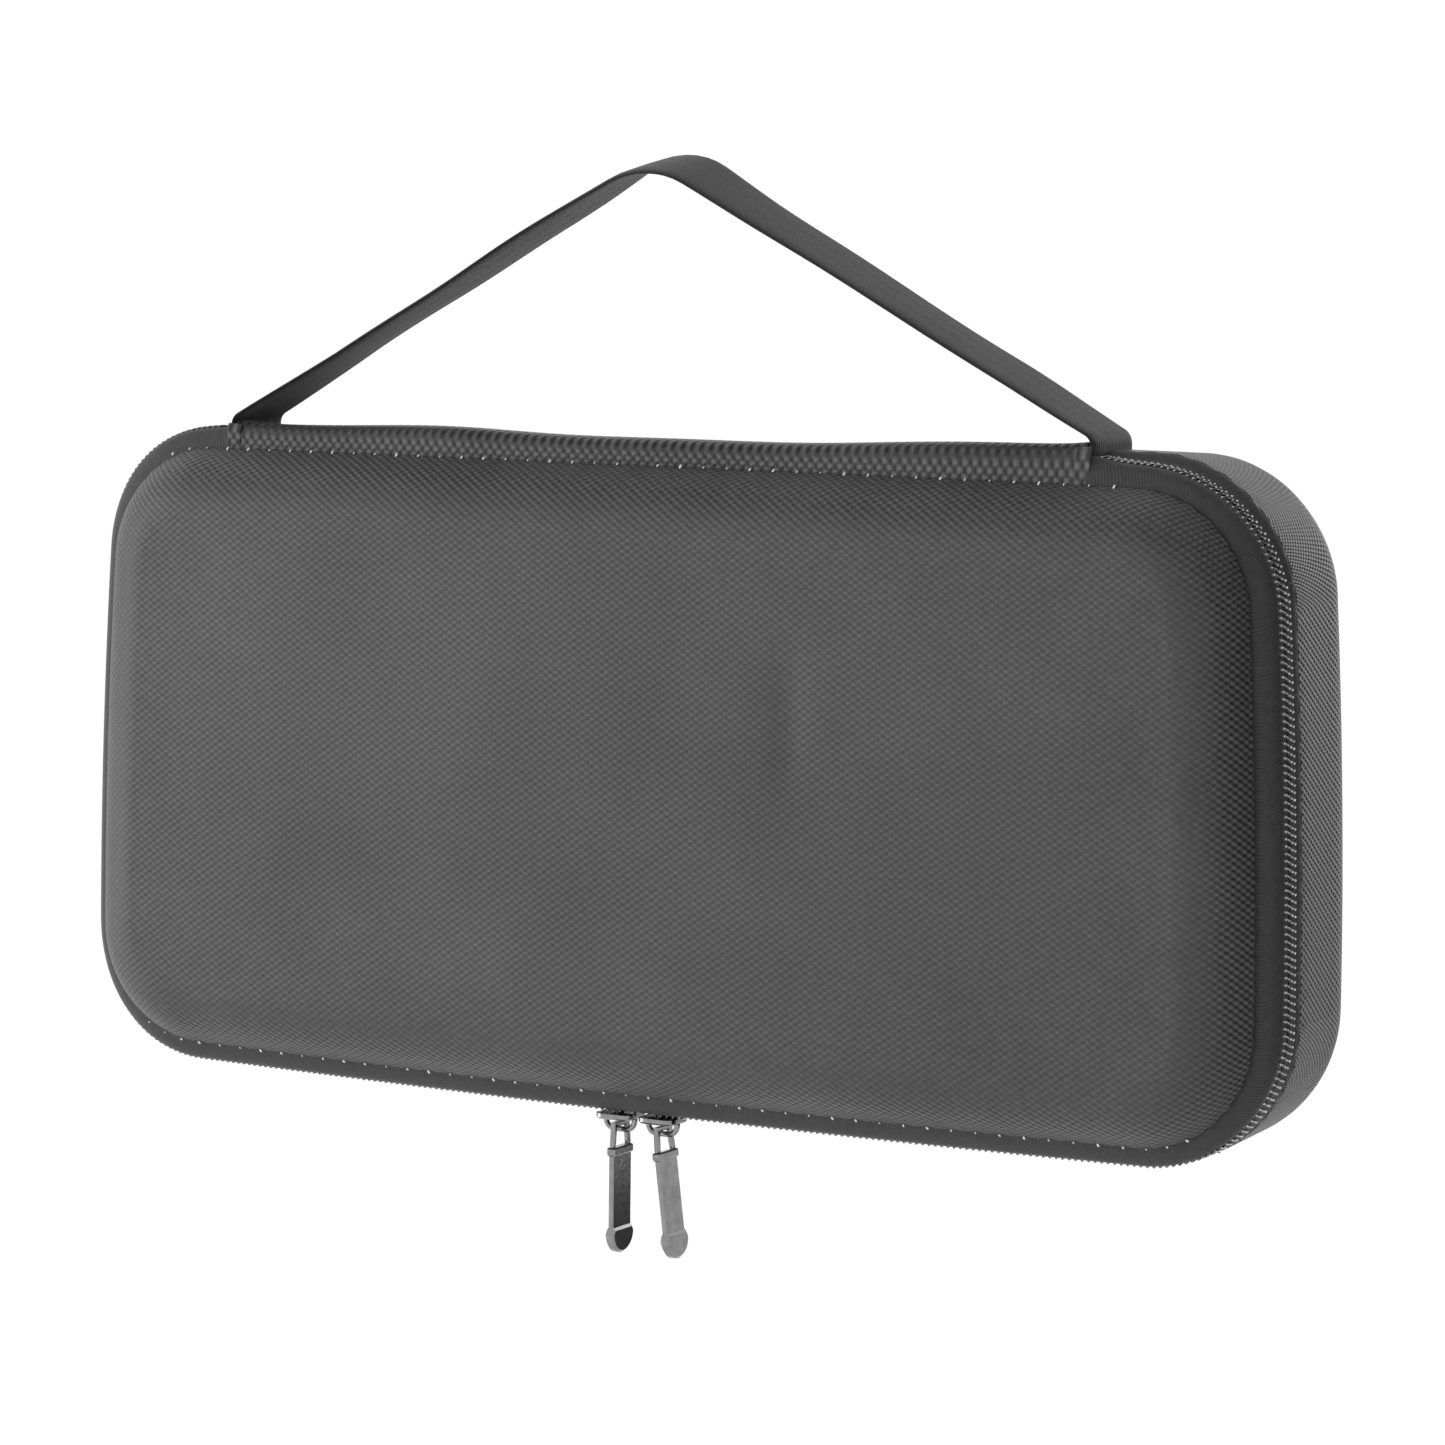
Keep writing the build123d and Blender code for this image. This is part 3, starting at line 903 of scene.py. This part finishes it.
def zip_stands(part_turn):
    """Where each turn stands, with the sides' bend and the lift at the ends."""
    stands = []
    for turn in range(turns):
        distance = zip_begin + COIL_PITCH * (turn + part_turn)
        stand_matrix = along_road(distance, 0, side_bend(distance))
        stand_matrix[2][3] += anchor_lift(distance, stand_matrix.translation)
        stands.append(stand_matrix)
    return stands


lid_coil = copy_to(lid_turn, zip_stands(0.25), "lid_coil")
base_coil = copy_to(base_turn, zip_stands(0.75), "base_coil")
# Each bead carries the painted highlight of one coil head.
lid_glint_beads = copy_to(bead("bead", [(-0.44, -2.75, -0.44, 0.27)]), zip_stands(0.25), "lid_coil_glint_beads")
base_glint_beads = copy_to(
    bead("bead", [(0.32, 2.25, -0.52, 0.33), (-0.10, 0.7, -0.48, 0.30)]), zip_stands(0.75), "base_coil_glint_beads"
)
dress(lid_coil, nylon, "lid", ("lid_zip_coil",))
dress(base_coil, nylon, "base", ("base_zip_coil",))
dress(lid_glint_beads, nylon_painted_glints, "lid")
dress(base_glint_beads, nylon_painted_glints, "base")

# %% [markdown]
# ## The stitches
# The lid's seam is sewn with off-white thread whose short stitches peep out of the groove. Along
# the sides, and right of the handle, they sink out of sight. The base's thread is dark and hardly
# shows.

# %% Stitches
def stitch(name, length, thick):
    """One stitch, a small rounded bar across the seam."""
    clear_selection()
    bpy.ops.mesh.primitive_uv_sphere_add(segments=6, ring_count=5, radius=0.5)
    bar = bpy.context.object
    bar.name = name
    bar.scale = (thick, length, thick)
    bpy.ops.object.transform_apply(location=True, rotation=True, scale=True)
    bpy.ops.object.shade_smooth()
    return bar


def seam_stands(inset, y, gone):
    """Stands for a row of stitches, without those whose outward direction is gone."""
    stands = []
    for number in range(int(road_length / STITCH_PITCH)):
        distance = (number + 0.5) * STITCH_PITCH
        if not gone(on_road(distance)[1]):
            lean = Matrix.Rotation(math.radians(35 + 8 * math.sin(number * 2.4)), 4, "X")
            size = Matrix.Scale(0.85 + 0.25 * math.sin(number * 1.7), 4)
            stands.append(along_road(distance, inset, y) @ lean @ size)
    return stands


def sunk_on_lid(out):
    """Where the lid's stitches don't show, by the outward direction."""
    return abs(out.x) > 0.5 or (out.y > 0 and out.x > 0.03)


def under_hinge(out):
    """Where the base's stitches lie under the hinge's cloth."""
    return out.y > 0.9999


lid_stitches = copy_to(
    stitch("stitch", 1.25 * MM, 0.46 * MM),
    seam_stands(4.95 * MM, -6.3 * MM, sunk_on_lid),
    "lid_stitches",
)
base_stitches = copy_to(
    stitch("stitch", 1.1 * MM, 0.4 * MM),
    seam_stands(0.35 * MM, 5.45 * MM, under_hinge),
    "base_stitches",
)
dress(lid_stitches, pale_thread, "lid", ("lid_seam_thread",))
dress(base_stitches, dark_thread, "base", ("base_seam_thread",))

# %% [markdown]
# ## The hinge
# A strip of the cover cloth runs over the crest between the two seams and carries the lid. Its
# ends are hemmed, and the webbing lifts the cloth a little there, so the crest isn't quite level.
# It bends when the lid opens, but here it is attached to neither body.

# %% Hinge
HINGE_HALF = 110.3 * MM
HEM_HALF = 111.7 * MM
HEM_FROM = 107.9 * MM
hinge_profile = [
    (6.4 * MM, -5.3 * MM), (5.4 * MM, -5.0 * MM), (3.9 * MM, -5.0 * MM), (2.2 * MM, -4.8 * MM),
    (0.9 * MM, -3.9 * MM), (0.15 * MM, -2.6 * MM), (-0.1 * MM, -1.2 * MM), (-0.15 * MM, 0.3 * MM),
    (-0.1 * MM, 1.8 * MM), (0.0 * MM, 3.2 * MM), (0.1 * MM, 4.6 * MM), (0.3 * MM, 5.6 * MM),
]


def crest_strip(name, profile, from_x, to_x):
    """A strip spun along the crest between two widths."""
    piece = start_line(name, [road_place(crest_distance(from_x), inset, y) for inset, y in profile])
    bpy.ops.mesh.spin(
        steps=max(2, round((to_x - from_x) / (1.6 * MM))),
        angle=-(crest_distance(to_x) - crest_distance(from_x)) / top_r,
        center=(top_c.x + RIM_X, 0, top_c.y + MID_Z),
        axis=(0, 1, 0),
    )
    bpy.ops.object.mode_set(mode="OBJECT")
    turn_outwards(piece, MIDDLE)
    return piece

# %% Strip and hems
hinge = crest_strip("hinge_cloth", hinge_profile, -HINGE_HALF, HINGE_HALF)
hems = []
for side in (-1, 1):
    near, far = sorted((side * HEM_FROM, side * HEM_HALF))
    lifted = [(inset - 0.55 * MM, y - 0.15 * MM) for inset, y in hinge_profile[:5]]
    hems.append(crest_strip("hem", lifted, near, far))
hinge = join([hinge] + hems, "hinge_cloth")


def crest_lift(place):
    """Raises the cloth at the webbing, and makes the crest a little uneven."""
    from_end = max(0.0, HINGE_HALF - abs(place.x))
    top = min(1.0, max(0.0, (place.z - crest_z + 5 * MM) / (5 * MM)))
    x = place.x / MM
    lift = 0.4 + 0.2 * math.sin(x * 0.071 + 1) + 1.2 * math.exp(-(((x + 52) / 26) ** 2))
    lift += 2.4 / (1 + math.exp(-(x - 52) / 12)) + 1.2 * math.exp(-from_end / (6 * MM))
    return Vector((0, 0, MM * top * lift))


map_cloth(hinge, lambda place: (place.x, place.y * 0.7 - (place.z - crest_z) * 0.8))
move_each(hinge, crest_lift)
thicken(hinge, 0.5 * MM)
dress(hinge, cover_cloth, None, ("hinge_strip",))
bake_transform(hinge)

# %% [markdown]
# ## The handle
# The handle is one length of 20 mm webbing, sewn in at both ends of the hinge and pulled up to a
# point. Its rounded section is extruded up the straights and spun round the bends. It bends at
# its roots when it leans, but here it is attached to no body.

# %% Path and section of the webbing
strap_low, strap_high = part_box("handle_strap")
STRAP_X = strap_high[0] - 0.6 * MM
STRAP_Y = (strap_low[1] + strap_high[1]) / 2
STRAP_HALF = (strap_high[1] - strap_low[1]) / 2
strap_points = [
    Vector((-STRAP_X, crest_z - 4.4 * MM)),
    Vector((-STRAP_X, crest_z + 1.8 * MM)),
    Vector((0.0, 4.4 * MM)),
    Vector((STRAP_X, crest_z + 4.6 * MM)),
    Vector((STRAP_X, crest_z - 4.4 * MM)),
]
bend_radii = [0, 3 * MM, 20 * MM, 3 * MM, 0]
SECTION_POINTS = 16
section = []
for step in range(SECTION_POINTS):
    angle = 2 * math.pi * step / SECTION_POINTS
    wide = math.copysign(abs(math.cos(angle)) ** 0.35, math.cos(angle))
    section.append((wide * STRAP_HALF, math.sin(angle) * 0.75 * MM))


def bend_cut(before, corner, after, radius):
    """How far from a corner its bend begins, and the signed angle it turns."""
    first, second = (corner - before).normalized(), (after - corner).normalized()
    turn = math.atan2(first.x * second.y - first.y * second.x, first.dot(second))
    return radius * math.tan(abs(turn) / 2), turn

# %% Extrude and spin the webbing
clear_selection()
bpy.ops.mesh.primitive_circle_add(vertices=len(section), radius=1)
strap = bpy.context.object
strap.name = "handle_webbing"
strap.data.name = "handle_webbing"
for vertex, (wide, deep) in zip(strap.data.vertices, section):
    vertex.co = (strap_points[0].x + deep, STRAP_Y + wide, strap_points[0].y)
bpy.ops.object.mode_set(mode="EDIT")
bpy.ops.mesh.select_all(action="SELECT")
place = strap_points[0]
for number in range(1, len(strap_points)):
    corner = strap_points[number]
    last = number == len(strap_points) - 1
    cut, turn = (0, 0) if last else bend_cut(place, corner, strap_points[number + 1], bend_radii[number])
    run = (corner - place).normalized() * ((corner - place).length - cut)
    steps = max(1, round(run.length / (2.2 * MM)))
    for _ in range(steps):
        bpy.ops.mesh.extrude_region_move(
            TRANSFORM_OT_translate={"value": (run.x / steps, 0, run.y / steps)}
        )
    place = place + run
    if not last:
        side = Vector((-run.y, run.x)).normalized() * math.copysign(bend_radii[number], turn)
        centre = place + side
        bpy.ops.mesh.spin(steps=8, angle=turn, center=(centre.x, 0, centre.y), axis=(0, 1, 0))
        heading = (strap_points[number + 1] - corner).normalized()
        place = corner + heading * cut
bpy.ops.object.mode_set(mode="OBJECT")

# %% Close the ends and ease the webbing
for end_x in (-STRAP_X, STRAP_X):
    low_end = strap_points[0].y
    choose(strap, lambda spot: abs(spot.z - low_end) < 1e-5 and abs(spot.x - end_x) < 2 * MM)
    bpy.ops.mesh.edge_face_add()
    bpy.ops.object.mode_set(mode="OBJECT")
turn_outwards(strap, Vector((0, STRAP_Y, -0.02)))
choose(strap, lambda spot: True)
bpy.ops.mesh.normals_make_consistent(inside=False)
bpy.ops.object.mode_set(mode="OBJECT")
slope = math.hypot(STRAP_X, crest_z) / STRAP_X
map_cloth(strap, lambda spot: (spot.x * slope + (spot.z - crest_z) * 0.2, spot.y))


def webbing_ease(spot):
    """Real webbing waves a little between its ends, and its edges aren't ruled."""
    free = min(1.0, max(0.0, (spot.z - crest_z - 4 * MM) / (14 * MM)))
    edge = (spot.y - STRAP_Y) / STRAP_HALF
    wavy = 0.22 * math.sin(spot.x * 63) * edge + 0.16 * math.sin(spot.x * 150 + 0.5) * edge**2
    twist = edge * (0.7 + 1.2 * math.exp(-((spot.x / (18 * MM)) ** 2)))
    return Vector((0, 0.12 * MM * math.sin(spot.x * 210) * free, MM * free * (wavy + twist)))


move_each(strap, webbing_ease)
clear_selection()
bpy.context.view_layer.objects.active = strap
strap.select_set(True)
bpy.ops.object.shade_smooth_by_angle(angle=math.radians(50))
dress(strap, handle_webbing, None, ("handle_strap", "strap_end_left", "strap_end_right"))
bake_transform(strap)

# %% [markdown]
# ## The pocket
# Inside the lid is a net pocket with ribbed elastic along its top. A real net is knotted cord, so
# a grid is laid in the pocket's place and the Wireframe modifier turns its edges into cords.

# %% Pocket net
net_low, net_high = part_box("pocket_mesh")
band_low, band_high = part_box("pocket_elastic")
clear_selection()
bpy.ops.mesh.primitive_grid_add(x_subdivisions=104, y_subdivisions=28, size=2, rotation=(math.pi / 2, 0, 0))
net = bpy.context.object
net.name = "pocket_net"
bpy.ops.object.transform_apply(location=True, rotation=True, scale=True)
net_inset = coil_high[0] - net_high[0] + 0.3 * MM


def half_width(z, inset):
    """Half width of the outline at a height, this far inside it."""
    reach = min(WAIST_HALF, TOP_HALF + (FOOT_HALF - TOP_HALF) * (HALF_H - z) / (2 * HALF_H)) - inset
    inner_r = CORNER_R - inset
    drop = -HALF_H - FOOT_BOW + inset + inner_r - z
    if drop > 0:
        reach -= inner_r - math.sqrt(max(0.0, inner_r**2 - drop**2))
    return reach


for vertex in net.data.vertices:
    z = net_low[2] + (vertex.co.z + 1) / 2 * (net_high[2] - net_low[2])
    x = RIM_X + vertex.co.x * half_width(z - MID_Z, net_inset)
    vertex.co = (x, (net_low[1] + net_high[1]) / 2, z)
cords = net.modifiers.new("cords", "WIREFRAME")
cords.thickness = 0.45 * MM
cords.use_even_offset = False
bpy.ops.object.modifier_apply(modifier=cords.name)
dress(net, net_cord, "lid", ("pocket_mesh",))

# %% Pocket's elastic
clear_selection()
bpy.ops.mesh.primitive_grid_add(x_subdivisions=190, y_subdivisions=6, size=2, rotation=(math.pi / 2, 0, 0))
elastic = bpy.context.object
elastic.name = "pocket_elastic_band"
bpy.ops.object.transform_apply(location=True, rotation=True, scale=True)
for vertex in elastic.data.vertices:
    z = band_low[2] + (vertex.co.z + 1) / 2 * (band_high[2] - band_low[2])
    x = (band_low[0] + band_high[0]) / 2 + vertex.co.x * (band_high[0] - band_low[0]) / 2
    rib = 0.22 * MM * math.sin(x * 2 * math.pi / (6 * MM))
    vertex.co = (x, band_low[1] + 0.5 * MM + rib, z)
turn_outwards(elastic, Vector((RIM_X, 0.1, MID_Z)))
thicken(elastic, 0.8 * MM)
dress(elastic, elastic_cloth, "lid", ("pocket_elastic",))
